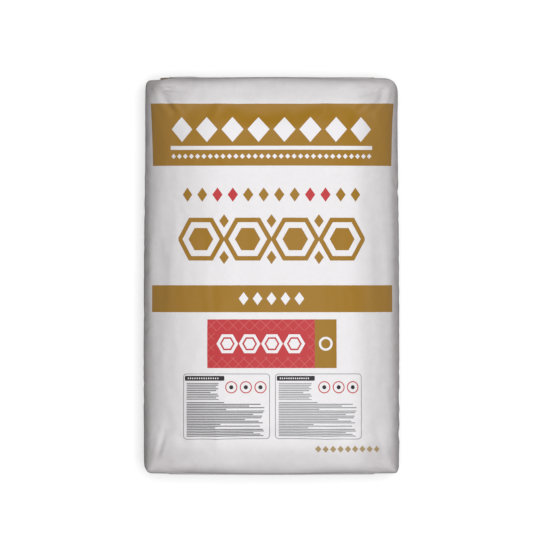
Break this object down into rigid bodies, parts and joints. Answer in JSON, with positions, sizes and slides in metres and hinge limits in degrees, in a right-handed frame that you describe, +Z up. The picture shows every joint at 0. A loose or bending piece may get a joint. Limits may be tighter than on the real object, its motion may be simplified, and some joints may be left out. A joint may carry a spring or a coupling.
{
  "type": "filled cement bag",
  "caption": "Full block-bottom paper sack of cement lying flat on its back, with pasted ends, a corner filling valve and printed bands on its face.",
  "frame": {"origin": "on the floor under the middle of the sack, which lies on its back", "axes": "+Z up through the printed face, +Y along the length to the valve end, +X across the width to the right of the printed face"},
  "size_m": [0.4, 0.621, 0.135],
  "materials": {
    "white_kraft_paper": "bleached kraft paper, flexo printed in gold, red, grey and black",
    "patch_paper": "uncoated bleached kraft paper",
    "brown_kraft_paper": "uncoated brown kraft paper",
    "cement_powder": "fine grey powder"
  },
  "bodies": {
    "root": {"paper_sack": "white_kraft_paper", "top_patch": "patch_paper", "bottom_patch": "patch_paper", "valve_sleeve": "brown_kraft_paper", "cement_fill": "cement_powder"}
  },
  "joints": []
}
